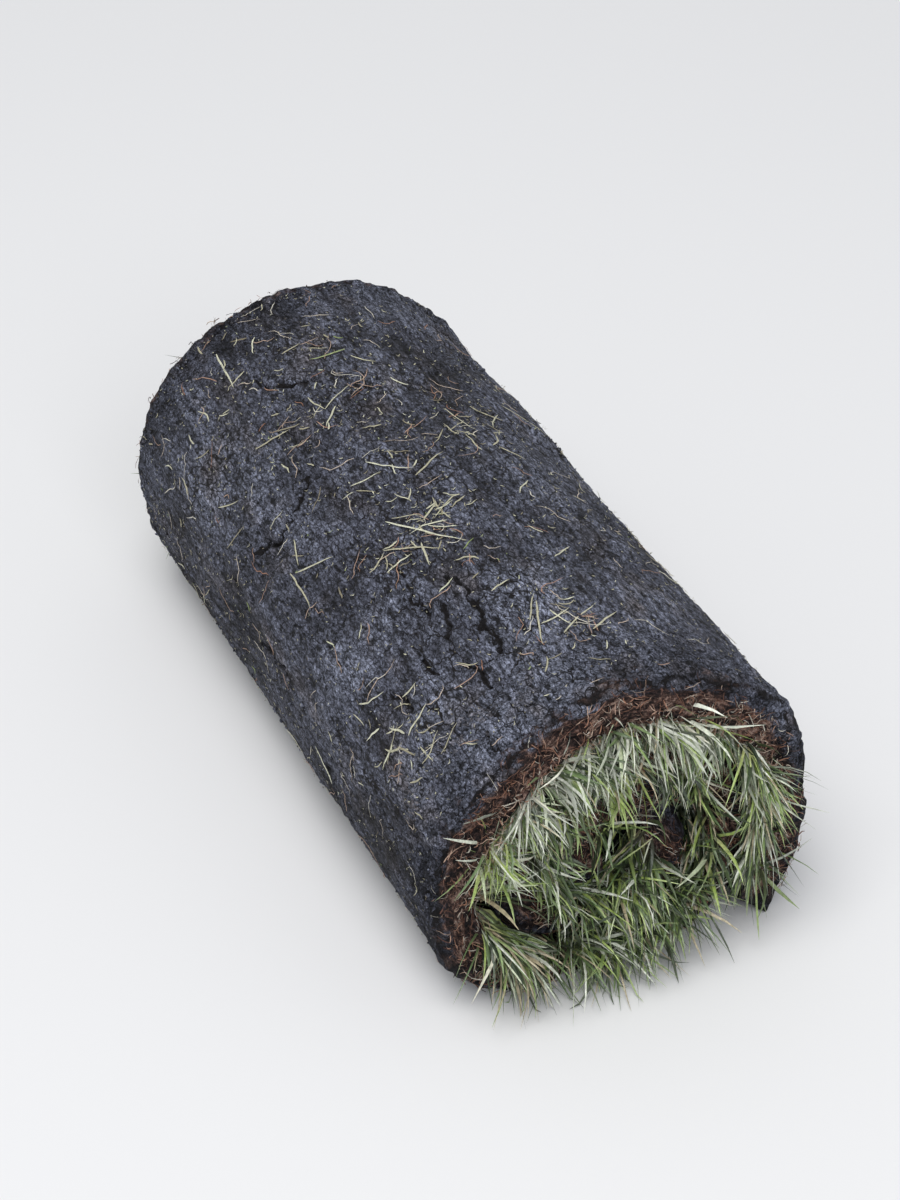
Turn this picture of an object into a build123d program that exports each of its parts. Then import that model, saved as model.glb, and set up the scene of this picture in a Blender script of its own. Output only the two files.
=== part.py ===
from build123d import *
import os
from math import ceil, cos, isclose, pi, radians, sin, sqrt

# A slab of turf, rolled up soil side out and lying on its flattened underside.
# X runs along the roll, Z is up, and the origin is under the middle of the roll.

# The slab as it was cut, in millimetres
SHEET_LENGTH = 1524.0
SHEET_WIDTH = 610.0
MAT_THICKNESS = 26.0

# The winding: the mat's radius at its inner end, and the grass pressed flat inside each turn
FIRST_TURN_RADIUS = 31.0
GRASS_DEPTH = 22.0
# Where the outer end lies: degrees from the middle of the underside, clockwise seen from +X
TAIL_ANGLE = 309.0

# The slump: how the roll's own weight spreads its section, where 1 is a round roll
SIDE_RATIO = 1.05
TOP_RATIO = 1.02
BOTTOM_RATIO = 0.93
# The outline's power: 2 is an ellipse over the top, and more is a squarer underside
TOP_POWER = 2.0
BOTTOM_POWER = 2.8
# How much of the underside the ground has pressed flat
GROUND_TRIM = 5.0

# The soil face's swells: their height over the hollows, their spacing along the roll, how many
# there are round it, and how many steps follow them along the roll
SWELL_HEIGHT = 6.0
SWELL_SPACING = 280.0
SWELLS_ROUND = 4
SWELL_STEPS = 8

# The ends: the mat's cut edge, the grass that stands out past it, and the groove between turns
GRASS_RIDGE = 16.0
GRASS_OVERHANG = 30.0
GROOVE_DEPTH = 25.0
RIM_WEAR = 5.0
RIDGE_BEVEL = 4.0
# The grass stops short of the mat's outer end by this much
LAP_RECESS = 16.0

# The eye, the open middle that runs through the roll
EYE_RADIUS = 9.0
EYE_GAP = 2.0
EYE_CORNER = 5.0

# How finely the winding's curves are followed, in degrees
POINT_STEP = 15.0

# Worked out from the sizes above
PITCH = MAT_THICKNESS + GRASS_DEPTH
RIDGE_DEPTH = MAT_THICKNESS + GRASS_RIDGE
MAT_END = SHEET_WIDTH / 2
GROOVE_FLOOR = MAT_END - GROOVE_DEPTH
RIDGE_TOP = MAT_END + GRASS_OVERHANG


def winding_turns():
    """Turns that the slab's length makes, measured along the middle of the mat."""
    middle = 2 * pi * (FIRST_TURN_RADIUS - MAT_THICKNESS / 2)
    return (sqrt(middle**2 + 4 * pi * PITCH * SHEET_LENGTH) - middle) / (2 * pi * PITCH)


# Angles along the winding, from the mat's inner end to its outer end
TAIL = radians(TAIL_ANGLE)
START = TAIL - 2 * pi * winding_turns()


def soil_radius(angle):
    """Radius of the soil face at an angle along the winding, before the slump."""
    return FIRST_TURN_RADIUS + PITCH * (angle - START) / (2 * pi)


def angle_at_radius(radius):
    """The angle along the winding where the soil face has a radius."""
    return START + 2 * pi * (radius - FIRST_TURN_RADIUS) / PITCH


GRASS_START = angle_at_radius(RIDGE_DEPTH + EYE_RADIUS)
GRASS_TAIL = TAIL - LAP_RECESS / soil_radius(TAIL)
LAP = GRASS_TAIL - 2 * pi


def swell(x, angle):
    """How far the soil face stands out at a station along the roll, none at its ends and its lap."""
    fade = cos(pi * x / (2 * GROOVE_FLOOR)) * sin(pi * (angle - LAP) / (TAIL - LAP))
    phase = 2 * pi * x / SWELL_SPACING
    waves = sin(phase + SWELLS_ROUND * angle) + sin(phase - (SWELLS_ROUND + 1) * angle)
    return SWELL_HEIGHT / 4 * fade * waves


def slump(angle):
    """Spread of the section at an angle from the underside, where 1 is a round roll."""
    below = (1 + cos(angle)) / 2
    height = TOP_RATIO + (BOTTOM_RATIO - TOP_RATIO) * below
    power = TOP_POWER + (BOTTOM_POWER - TOP_POWER) * below
    across = abs(sin(angle) / SIDE_RATIO) ** power
    upright = abs(cos(angle) / height) ** power
    return (across + upright) ** (-1 / power)


def spiral_point(angle, depth):
    """A point of the section, at a depth inward from the soil face."""
    radius = (soil_radius(angle) - depth) * slump(angle)
    return Vector(-sin(angle) * radius, -cos(angle) * radius)


def spiral(start, end, depth, station=GROOVE_FLOOR):
    """The winding's curve from one angle to another, at a depth inward and a station along the roll."""
    def point(angle):
        return spiral_point(angle, depth - swell(station, angle))

    count = ceil((end - start) / radians(POINT_STEP))
    angles = [start + (end - start) * i / count for i in range(count + 1)]
    nudge = radians(0.01)
    slopes = [point(a + nudge) - point(a - nudge) for a in (start, end)]
    return Spline([point(a) for a in angles], tangents=slopes, tangent_scalars=[1, 1])


def step(angle, outer, inner):
    """A straight cut across the winding at an angle, from one depth to another."""
    return Line(spiral_point(angle, outer), spiral_point(angle, inner))


def section(*curves):
    """A flat section of the roll, seen along its length, from curves that close."""
    return Plane.YZ * make_face(list(curves))


def slab(flat, low, high):
    """A section stood up along the roll between two stations."""
    return loft([Pos(low, 0, 0) * flat, Pos(high, 0, 0) * flat], ruled=True)


def outline(x):
    """The roll's outer outline at a station: its last turn of soil face, with the lap at the outer end."""
    return section(
        spiral(LAP, TAIL, 0, x),
        step(TAIL, 0, MAT_THICKNESS),
        spiral(GRASS_TAIL, TAIL, MAT_THICKNESS),
        step(GRASS_TAIL, MAT_THICKNESS, PITCH),
    )


def eye():
    """The hole left between the mat's inner end and the first turn's grass."""
    inner_end = START + pi
    outer_end = START + 2 * pi - radians(POINT_STEP)
    wall = RIDGE_DEPTH + EYE_GAP
    flat = section(
        spiral(inner_end, outer_end, wall),
        Line(spiral_point(inner_end, wall), spiral_point(outer_end, wall)),
    )
    return fillet(flat.vertices(), EYE_CORNER)


def turns():
    """The winding as it shows on an end face: the mat's cut edge with its band of grass."""
    return section(
        spiral(START, LAP, 0),
        spiral(LAP, TAIL, 0),
        step(TAIL, 0, MAT_THICKNESS),
        spiral(GRASS_TAIL, TAIL, MAT_THICKNESS),
        step(GRASS_TAIL, MAT_THICKNESS, RIDGE_DEPTH),
        spiral(GRASS_START, GRASS_TAIL, RIDGE_DEPTH),
        step(GRASS_START, MAT_THICKNESS, RIDGE_DEPTH),
        spiral(START, GRASS_START, MAT_THICKNESS),
        step(START, 0, MAT_THICKNESS),
    )


def grass():
    """The band of grass on the mat's inner side."""
    return section(
        spiral(GRASS_START, GRASS_TAIL, MAT_THICKNESS),
        step(GRASS_TAIL, MAT_THICKNESS, RIDGE_DEPTH),
        spiral(GRASS_START, GRASS_TAIL, RIDGE_DEPTH),
        step(GRASS_START, MAT_THICKNESS, RIDGE_DEPTH),
    )


def end_edges(solid):
    """The edges of a solid's face that looks out along +X."""
    return solid.edges().group_by(Axis.X)[-1]


def roll_end():
    """One end of the roll: the mat's turns with a worn rim, and the grass ridge on them."""
    mat_edge = slab(turns(), GROOVE_FLOOR, MAT_END)
    outer_turn = spiral(LAP, TAIL, 0)
    rim = [e for e in end_edges(mat_edge) if isclose(e.length, outer_turn.length, abs_tol=0.01)]
    mat_edge = chamfer(rim, RIM_WEAR)
    ridge = slab(grass(), MAT_END, RIDGE_TOP)
    return mat_edge + chamfer(end_edges(ridge), RIDGE_BEVEL)


def middle():
    """The roll between its ends, with the swells of its soil face and the open eye."""
    stations = [GROOVE_FLOOR * (2 * i / SWELL_STEPS - 1) for i in range(SWELL_STEPS + 1)]
    swollen = loft([Pos(x, 0, 0) * outline(x) for x in stations], ruled=True)
    return swollen - slab(eye(), -GROOVE_FLOOR, GROOVE_FLOOR)


def turf_roll():
    """The whole roll, lying on the ground with its middle over the origin."""
    near_end = roll_end()
    roll = middle() + near_end + mirror(near_end, about=Plane.YZ)
    ground = spiral_point(0, 0).Y + GROUND_TRIM
    box = roll.bounding_box()
    roll = Pos(0, -(box.min.Y + box.max.Y) / 2, -ground) * roll
    return split(roll, bisect_by=Plane.XY, keep=Keep.TOP)


os.makedirs("parts", exist_ok=True)
export_step(turf_roll(), "parts/turf_roll.step")
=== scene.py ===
from itertools import product

import bpy
import numpy as np
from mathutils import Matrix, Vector


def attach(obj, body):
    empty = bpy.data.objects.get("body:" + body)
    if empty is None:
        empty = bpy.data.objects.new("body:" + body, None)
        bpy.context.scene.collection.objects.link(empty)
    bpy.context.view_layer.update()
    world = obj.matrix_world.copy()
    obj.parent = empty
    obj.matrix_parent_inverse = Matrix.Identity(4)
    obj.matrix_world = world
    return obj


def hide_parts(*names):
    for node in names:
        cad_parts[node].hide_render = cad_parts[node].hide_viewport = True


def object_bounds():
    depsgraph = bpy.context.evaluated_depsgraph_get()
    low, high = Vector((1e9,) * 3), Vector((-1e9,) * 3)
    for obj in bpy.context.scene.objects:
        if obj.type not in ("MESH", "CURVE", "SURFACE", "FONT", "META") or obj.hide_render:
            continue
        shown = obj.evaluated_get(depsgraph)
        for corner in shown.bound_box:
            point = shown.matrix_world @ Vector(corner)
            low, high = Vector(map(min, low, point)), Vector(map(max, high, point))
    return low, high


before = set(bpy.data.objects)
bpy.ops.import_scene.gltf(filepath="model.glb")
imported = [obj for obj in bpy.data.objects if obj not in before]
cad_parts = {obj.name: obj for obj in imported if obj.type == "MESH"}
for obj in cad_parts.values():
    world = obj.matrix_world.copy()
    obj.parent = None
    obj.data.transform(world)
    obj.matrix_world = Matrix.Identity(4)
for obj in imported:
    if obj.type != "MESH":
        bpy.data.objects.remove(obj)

CAD_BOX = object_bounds()

# The slab and its winding, as the solid has them, in metres and radians
SHEET_LENGTH = 1.524
SHEET_WIDTH = 0.610
MAT_THICKNESS = 0.026
FIRST_TURN_RADIUS = 0.031
GRASS_DEPTH = 0.022
TAIL = np.radians(309)
SIDE_RATIO, TOP_RATIO, BOTTOM_RATIO = 1.05, 1.02, 0.93
TOP_POWER, BOTTOM_POWER = 2.0, 2.8
GROUND_TRIM = 0.005
SWELL_HEIGHT = 0.006
SWELL_SPACING = 0.280
SWELLS_ROUND = 4
SWELL_STEPS = 8
GROOVE_FLOOR = 0.280
LAP_RECESS = 0.016
PITCH = MAT_THICKNESS + GRASS_DEPTH
MAT_END = SHEET_WIDTH / 2
TURN = 2 * np.pi
FIRST_MIDDLE = FIRST_TURN_RADIUS - MAT_THICKNESS / 2
SPREAD = PITCH / (2 * TURN)

# How the mesh of the soil and of the ends is spaced
SKIN_STEP = 0.0023
EDGE_STEP = 0.0024
SKIN_END = 0.268
EDGE_ROOT = 0.245
RIM_RADIUS = 0.005
CORNER_RADIUS = 0.003
# The mat with its thatch, the bare soil outside the thatch, and how far inner turns and hollows go back
THATCH_DEPTH = 0.031
SOIL_BAND = 0.0070
SET_BACK = 0.010
HOLLOW_DEPTH = 0.022
# Places on the near end where the grass parts over a dark hollow: Y, Z and their half sizes
HOLLOWS = ((0.024, 0.117, 0.052, 0.018), (-0.098, 0.088, 0.025, 0.019))
# How far loose bits on the soil face keep from its wavering rims
RIM_ROOM = 0.013
# How far the grass may reach past the mat's cut ends
REACH = MAT_END + 0.056


def angle_at(length):
    """The angle past the winding's start at a length along the middle of the mat."""
    return (np.sqrt(FIRST_MIDDLE**2 + 4 * SPREAD * length) - FIRST_MIDDLE) / (2 * SPREAD)


START = TAIL - angle_at(SHEET_LENGTH)


def length_at(angle):
    """The length along the middle of the mat at an angle of the winding."""
    past = angle - START
    return FIRST_MIDDLE * past + SPREAD * past**2


def soil_radius(angle):
    """Radius of the soil face at an angle of the winding, before the slump."""
    return FIRST_TURN_RADIUS + PITCH * (angle - START) / TURN


def slump(angle):
    """Spread of the section at an angle from the underside, where 1 is a round roll."""
    below = (1 + np.cos(angle)) / 2
    height = TOP_RATIO + (BOTTOM_RATIO - TOP_RATIO) * below
    power = TOP_POWER + (BOTTOM_POWER - TOP_POWER) * below
    across = np.abs(np.sin(angle) / SIDE_RATIO) ** power
    upright = np.abs(np.cos(angle) / height) ** power
    return (across + upright) ** (-1 / power)


LAP = TAIL - LAP_RECESS / soil_radius(TAIL) - TURN


def swell_at(x, angle):
    """How far the outer turn's soil face swells out at a station along the roll."""
    fade = np.cos(np.pi * x / (2 * GROOVE_FLOOR)) * np.sin(np.pi * (angle - LAP) / (TAIL - LAP))
    phase = TURN * x / SWELL_SPACING
    waves = np.sin(phase + SWELLS_ROUND * angle) + np.sin(phase - (SWELLS_ROUND + 1) * angle)
    return SWELL_HEIGHT / 4 * fade * waves


def swell(x, angle):
    """The swell between the solid's steps along the roll, none past them or on the inner turns."""
    step = 2 * GROOVE_FLOOR / SWELL_STEPS
    low = np.floor(np.clip(x, -GROOVE_FLOOR, GROOVE_FLOOR - 1e-9) / step) * step
    share = clamp((x - low) / step)
    height = swell_at(low, angle) * (1 - share) + swell_at(low + step, angle) * share
    return np.where(angle > LAP, height, 0)


def winding_middle():
    """Where the winding's middle is, so that the roll lies on the ground over the origin."""
    angle = np.linspace(LAP, TAIL, 2000)[:, None]
    station = np.linspace(-GROOVE_FLOOR, GROOVE_FLOOR, SWELL_STEPS + 1)
    aside = -np.sin(angle) * (soil_radius(angle) + swell_at(station, angle)) * slump(angle)
    return -(aside.min() + aside.max()) / 2, soil_radius(0) * slump(0) - GROUND_TRIM


MIDDLE_Y, MIDDLE_Z = winding_middle()
# The open eye: its middle, and half its width and height
EYE_MIDDLE = (MIDDLE_Y + 0.011, MIDDLE_Z - 0.010)
EYE_WIDTH, EYE_HEIGHT = 0.008, 0.016


def place(x, angle, depth):
    """Points from their place along the roll, round its winding and below its soil face."""
    radius = (soil_radius(angle) - depth) * slump(angle)
    y = MIDDLE_Y - np.sin(angle) * radius
    z = MIDDLE_Z - np.cos(angle) * radius
    return np.stack(np.broadcast_arrays(x, y, z), axis=-1)


def unit(vectors):
    """Vectors brought to a length of one."""
    return vectors / np.maximum(np.linalg.norm(vectors, axis=-1, keepdims=True), 1e-9)


def clamp(values):
    """Numbers held between 0 and 1."""
    return np.clip(values, 0, 1)


def along(angle):
    """The way the winding runs at an angle, towards its outer end."""
    return unit(place(0, angle + 0.001, 0) - place(0, angle - 0.001, 0))


def outward(angle):
    """The way the soil face looks at an angle."""
    run = along(angle)
    return np.stack([run[..., 0] * 0, -run[..., 2], run[..., 1]], axis=-1)


# Repeatable relief

def scatter(cells, seed):
    """A repeatable number from 0 to 1 for each whole-numbered cell."""
    mixed = (cells * (73856093, 19349663, 83492791)).sum(axis=-1) + seed * 668265263
    for factor in (1274126177, 2146822519):
        mixed = ((mixed ^ mixed >> 13) & 0xFFFFFFFF) * factor >> 8
    return (mixed & 0xFFFF) / 0xFFFF


def noise(points, size, seed):
    """Smooth relief from 0 to 1 with lumps of a size."""
    spots = points / size
    cell = np.floor(spots).astype(np.int64)
    part = spots - cell
    part = part * part * (3 - 2 * part)
    total = 0
    for corner in product((0, 1), repeat=3):
        weight = np.prod(np.where(corner, part, 1 - part), axis=-1)
        total = total + weight * scatter(cell + corner, seed)
    return total


def crumbs(points, size, seed):
    """Distance to the nearest and the next of scattered middles, in shares of a size."""
    spots = points / size
    cell = np.floor(spots).astype(np.int64)
    nearest = np.full(spots.shape[:-1], 9.0)
    second = nearest.copy()
    for corner in product((-1, 0, 1), repeat=3):
        near = cell + corner
        middle = near + np.stack([scatter(near, seed + axis) for axis in range(3)], axis=-1)
        distance = np.linalg.norm(spots - middle, axis=-1)
        second = np.minimum(second, np.maximum(nearest, distance))
        nearest = np.minimum(nearest, distance)
    return nearest, second


# Kinds of relief on the soil face, in metres: how wide they are and how high they stand
SWELL_LUMP, SWELL_LUMP_HEIGHT = 0.060, 0.0030
LUMP, LUMP_HEIGHT = 0.022, 0.0026
RIDGE, RIDGE_HEIGHT = 0.0065, 0.0020
CLOD, CLOD_HEIGHT = 0.0105, 0.0012
CRUMB, CRUMB_HEIGHT = 0.0058, 0.0009
GRIT, GRIT_HEIGHT = 0.0052, 0.0015
PLATE, PLATE_WARP, PLATE_CRACK_DEPTH = 0.017, 0.006, 0.0022
# How much longer clods and ridges are along the roll than round it
CLOD_RUN, RIDGE_RUN = (0.55, 1, 1), (0.14, 1, 1)
# How far the relief lies below the solid's face
SINK = 0.0012
# Relief from the darkest to the lightest soil, with painted shade on low soil and painted light on raised
# soil
TONE_RANGE = 0.0046


def dry_share(points):
    """How far the soil has dried: most on top towards the near end."""
    share = clamp((points[..., 0] - 0.04) / 0.2) * clamp(points[..., 2] / 0.2)
    return share * np.exp(-(((points[..., 1] + 0.06) / 0.08) ** 2))


def plate_cracks(points, streaked):
    """Thin cracks between plates of soil in patches, from 0 to 1."""
    warp = PLATE_WARP * np.stack([noise(points, 0.012, 51 + axis) for axis in range(3)], axis=-1)
    nearest, second = crumbs(streaked + warp, PLATE, 9)
    broken = clamp((noise(points, 0.065, 6) - 0.50) / 0.12)
    return broken * clamp(1 - (second - nearest) / 0.13)


def soil_relief(points):
    """Height of the soil face's crumbs, how high each point stands among them as a tone with painted shade
    on low soil, painted light on raised soil and painted shade low on the flank, and its fine cracks.
    """
    streaked = points * CLOD_RUN
    lumps = SWELL_LUMP_HEIGHT * (noise(points, SWELL_LUMP, 1) - 0.5)
    lumps = lumps + LUMP_HEIGHT * (noise(streaked, LUMP, 2) - 0.5)
    ridges = RIDGE_HEIGHT * (noise(points * RIDGE_RUN, RIDGE, 5) - 0.5)
    crack = plate_cracks(points, streaked)
    clod = 1 - crumbs(streaked, CLOD, 3)[0]
    crumb = 1 - crumbs(streaked, CRUMB, 7)[0]
    grit = noise(points, GRIT, 8) + 0.5 * noise(points, GRIT / 2, 10) - 0.75
    fine = CLOD_HEIGHT * (0.3 + noise(points, 0.045, 4)) * clod + CRUMB_HEIGHT * crumb + GRIT_HEIGHT * grit
    dried = dry_share(points)
    # Painted shade: the soil darkens towards the ground, most on the low flank.
    low_flank_shade = clamp((0.16 - points[..., 2]) / 0.14)
    tone = 0.53 + 0.30 * dried - 0.48 * low_flank_shade
    # Painted shade and light: the tone darkens where the soil lies low among its crumbs and lightens where
    # it stands high.
    standing = clamp(tone + (0.6 * lumps + ridges + fine - 0.0010) / TONE_RANGE)
    dry_cracks = clamp(2.4 * dried - 0.3) * 1.1 * noise(points, 0.03, 16)
    height = lumps + ridges + fine - SINK - PLATE_CRACK_DEPTH * crack
    return height, standing, np.maximum(0.85 * crack, dry_cracks)


# The larger cracks of the soil face: places along the roll and round it, in metres and degrees
CRACKS = (
    ((0.118, 162), (0.150, 163), (0.195, 161), (0.220, 162)),
    ((0.208, 151), (0.234, 152), (0.258, 149)),
    ((0.252, 139), (0.268, 140), (0.285, 137)),
    ((-0.070, 147), (-0.045, 139), (-0.035, 128), (-0.056, 119)),
    ((0.089, 152), (0.122, 149), (0.144, 151)),
    ((0.172, 129), (0.205, 131)),
    ((0.160, 142), (0.197, 143)),
    ((0.144, 157), (0.178, 151)),
    ((-0.21, 152), (-0.18, 158), (-0.165, 168)),
    ((-0.12, 232), (-0.08, 238), (-0.05, 236)),
    ((0.02, 262), (0.06, 258), (0.085, 263), (0.11, 260)),
    ((-0.02, 96), (0.03, 99), (0.07, 95)),
)
CRACK_DEPTH = 0.006
CRACK_WIDTH = 0.0020
# How dark the fine cracks are beside the larger ones
FINE_CRACK = 0.55
# How far a crack sways in wide bends and in narrow ones
CRACK_BEND, CRACK_TWITCH = 0.009, 0.0045
# The outer turn's radius, by which degrees round the roll become a distance
OUTER_RADIUS = 0.142


def crack_share(points, angle):
    """How far into a crack each point of the outer soil face is, from 0 to 1."""
    flat = np.stack([points[..., 0], angle * OUTER_RADIUS], axis=-1)
    sway = np.stack([noise(points, 0.014, 31), noise(points, 0.011, 32)], axis=-1) - 0.5
    twitch = np.stack([noise(points, 0.0055, 34), noise(points, 0.0045, 35)], axis=-1) - 0.5
    flat = flat + CRACK_BEND * sway + CRACK_TWITCH * twitch
    share = np.zeros(flat.shape[:-1])
    for crack in CRACKS:
        ends = np.array([(x, np.radians(degrees) * OUTER_RADIUS) for x, degrees in crack])
        for low, high in zip(ends[:-1], ends[1:]):
            run = high - low
            part = clamp((flat - low) @ run / (run @ run))
            away = np.linalg.norm(flat - low - part[..., None] * run, axis=-1)
            share = np.maximum(share, np.exp(-(away / CRACK_WIDTH) ** 2))
    return share * clamp(0.55 + 0.9 * noise(points, 0.018, 33))


# Meshes

def mesh_piece(name, points, faces, material, looks):
    """A piece of the roll from its points, its faces and the values its material reads."""
    mesh = bpy.data.meshes.new(name)
    points = np.ascontiguousarray(points.reshape(-1, 3), dtype=np.float32)
    mesh.vertices.add(len(points))
    mesh.vertices.foreach_set("co", points.ravel())
    mesh.loops.add(faces.size)
    mesh.loops.foreach_set("vertex_index", faces.ravel().astype(np.int32))
    mesh.polygons.add(len(faces))
    mesh.polygons.foreach_set("loop_start", np.arange(0, faces.size, faces.shape[1], dtype=np.int32))
    for key, values in looks.items():
        kind, field = ("FLOAT_VECTOR", "vector") if values.size == points.size else ("FLOAT", "value")
        layer = mesh.attributes.new(key, kind, "POINT")
        layer.data.foreach_set(field, values.ravel().astype(np.float32))
    mesh.update(calc_edges=True)
    mesh.shade_smooth()
    mesh.materials.append(material)
    piece = bpy.data.objects.new(name, mesh)
    bpy.context.scene.collection.objects.link(piece)
    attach(piece, "root")
    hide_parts("turf_roll")
    return piece


# How names start at each end
SIDES = {1: "near_", -1: "far_"}


def grid_faces(*shape):
    """Faces of a grid of points, or of a row of grids."""
    index = np.arange(np.prod(shape)).reshape(shape)
    corners = [index[..., :-1, :-1], index[..., :-1, 1:], index[..., 1:, 1:], index[..., 1:, :-1]]
    return np.stack(corners, axis=-1).reshape(-1, 4)


def strips(lines, across, lift):
    """Narrow folded strips along lines, with half their width and the rise of their middle."""
    rows = np.stack([lines - across, lines + lift, lines + across], axis=2)
    rows[..., 2] = np.maximum(rows[..., 2], 0.0002)
    return rows.reshape(-1, 3), grid_faces(*rows.shape[:3])


# Materials

class Shader:
    """A material's nodes, with its one surface shader."""

    def __init__(self, name, roughness, specular):
        self.material = bpy.data.materials.new(name)
        self.material.use_nodes = True
        self.nodes = self.material.node_tree.nodes
        self.links = self.material.node_tree.links
        self.surface = self.nodes["Principled BSDF"]
        self.surface.inputs["Roughness"].default_value = roughness
        self.surface.inputs["Specular IOR Level"].default_value = specular

    def give(self, socket, value):
        """Links a socket, or sets its own value."""
        if isinstance(value, bpy.types.NodeSocket):
            self.links.new(value, socket)
        else:
            socket.default_value = value

    def node(self, kind, values=None, **settings):
        """A node with its settings, and its sockets given values or linked."""
        made = self.nodes.new("ShaderNode" + kind)
        for key, value in settings.items():
            setattr(made, key, value)
        for key, value in (values or {}).items():
            self.give(made.inputs[key], value)
        return made

    def value(self, name):
        """A number that the mesh carries."""
        return self.node("Attribute", attribute_name=name).outputs["Fac"]

    def spot(self, scale=(1, 1, 1), carried=None):
        """The place on the object in metres, or one that the mesh carries, scaled."""
        if carried:
            held = self.node("Attribute", attribute_name=carried).outputs["Vector"]
        else:
            held = self.node("TexCoord").outputs["Object"]
        return self.node("Mapping", {"Vector": held, "Scale": scale}).outputs["Vector"]

    def noise(self, vector, scale, detail, rough=0.6):
        """Cloudy noise."""
        values = {"Vector": vector, "Scale": scale, "Detail": detail, "Roughness": rough}
        return self.node("TexNoise", values).outputs["Fac"]

    def cells(self, vector, scale, feature="F1"):
        """Scattered cells: how far their middles or edges are, and their own colours."""
        values = {"Vector": vector, "Scale": scale}
        return self.node("TexVoronoi", values, feature=feature).outputs

    def warped(self, vector, scale, amount):
        """A place shifted by noise of a scale, so that shapes laid on it turn uneven."""
        values = {"Vector": vector, "Scale": scale, "Detail": 2.0, "Roughness": 0.6}
        shift = self.node("TexNoise", values).outputs["Color"]
        values = {0: shift, 1: (amount,) * 3, 2: vector}
        return self.node("VectorMath", values, operation="MULTIPLY_ADD").outputs["Vector"]

    def math(self, operation, first, second=0.0, clamp=False):
        """Arithmetic on two numbers."""
        held = self.node("Math", {0: first, 1: second}, operation=operation, use_clamp=clamp)
        return held.outputs[0]

    def weigh(self, *terms):
        """A sum of numbers, each times its weight."""
        total, *parts = [self.math("MULTIPLY", *term) for term in terms]
        for part in parts:
            total = self.math("ADD", total, part)
        return total

    def ramp(self, value, *stops):
        """A run of colours or greys over a number."""
        held = self.node("ValToRGB", {"Fac": value})
        bar = held.color_ramp
        while len(bar.elements) < len(stops):
            bar.elements.new(0.5)
        for element, (at, colour) in zip(bar.elements, stops):
            element.position = at
            element.color = (*colour, 1) if isinstance(colour, tuple) else (colour, colour, colour, 1)
        return held.outputs["Color"]

    def mix(self, share, first, second, blend="MIX"):
        """A mix of two colours."""
        held = self.node("Mix", data_type="RGBA", blend_type=blend)
        for index, value in ((0, share), (6, first), (7, second)):
            self.give(held.inputs[index], (*value, 1) if isinstance(value, tuple) else value)
        return held.outputs[2]

    def times(self, first, second):
        """One colour times another."""
        return self.mix(1.0, first, second, "MULTIPLY")

    def mottled(self, colour, scale, detail, dark, light):
        """A colour with darker and lighter spots, and the noise that they follow."""
        mottle = self.noise(self.spot(), scale, detail)
        return self.times(colour, self.ramp(mottle, dark, light)), mottle

    def bump(self, height, distance, under=None):
        """A bump of a height, on top of another."""
        values = {"Height": height, "Distance": distance, "Strength": 1.0}
        if under:
            values["Normal"] = under
        return self.node("Bump", values).outputs["Normal"]

    def finish(self, colour, normal=None):
        """Links the surface and gives the material."""
        self.links.new(colour, self.surface.inputs["Base Color"])
        if normal:
            self.links.new(normal, self.surface.inputs["Normal"])
        return self.material


def soil_detail(shader, spot):
    """What is finer than the mesh: grit, grains with gaps, and plates with cracks."""
    ragged = shader.warped(spot, 260, 0.0045)
    grit = shader.noise(spot, 430, 2, 0.82)
    grains = shader.cells(ragged, 230, "DISTANCE_TO_EDGE")["Distance"]
    plates = shader.cells(shader.warped(spot, 80, 0.016), 60, "DISTANCE_TO_EDGE")["Distance"]
    line = shader.ramp(plates, (0.008, 1.0), (0.048, 0.0))
    broken = shader.ramp(shader.noise(spot, 13, 2), (0.49, 0.0), (0.57, 1.0))
    # On the cut edge the crack value also carries the painted rim shadow.
    split = shader.weigh((line, 0.18), (grit, 0.45), (shader.value("crack"), 0.6))
    split = shader.ramp(split, (0.52, 0.0), (0.61, 1.0))
    return grit, grains, shader.math("MAXIMUM", shader.math("MULTIPLY", line, broken), split)


def grain(shader, detail):
    """Relief finer than the mesh."""
    grit, grains, _ = detail
    gap = shader.math("MINIMUM", grains, 0.12)
    return shader.bump(shader.weigh((grit, 0.0026), (gap, 0.0070)), 1.0)


def soil_colour(shader, spot, detail):
    """Black soil, greyer where dry, with painted shade in the gaps between grains, dark pits, thin cracks,
    light grains and flecks.
    """
    grit, grains, cracks = detail
    # The carried tone holds painted shade and light from the relief, and painted shade low on the flank.
    tone = shader.weigh((shader.value("standing"), 0.5), (shader.noise(spot, 15, 2, 0.55), 0.6))
    earth = shader.ramp(
        tone,
        (0.31, (0.019, 0.02, 0.027)), (0.55, (0.085, 0.091, 0.123)), (0.78, (0.184, 0.199, 0.262)),
    )
    light = shader.ramp(grit, (0.36, 0.25), (0.5, 0.92), (0.66, 2.1))
    # Painted shade: darker in the gaps between grains.
    gap = shader.ramp(grains, (0.0, 0.3), (0.08, 1.0))
    pits = shader.ramp(shader.noise(spot, 150, 2, 0.7), (0.36, 0.18), (0.43, 1.0))
    streak = shader.noise(shader.spot((0.11, 1, 1)), 190, 2)
    streak = shader.ramp(streak, (0.36, 0.6), (0.62, 1.22))
    for layer in (light, gap, pits, streak):
        earth = shader.times(earth, layer)
    warm = shader.ramp(shader.noise(spot, 24, 2, 0.7), (0.52, 0.0), (0.72, 0.8))
    earth = shader.mix(warm, earth, shader.times(earth, (1.04, 0.86, 0.68)))
    spots = shader.cells(spot, 210)
    fleck = shader.ramp(spots["Distance"], (0.07, 1.0), (0.14, 0.0))
    chosen = shader.ramp(spots["Color"], (0.78, 0.0), (0.84, 1.0))
    earth = shader.mix(shader.math("MULTIPLY", fleck, chosen), earth, (0.3, 0.28, 0.23))
    return shader.mix(cracks, earth, (0.007, 0.006, 0.007))


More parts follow.
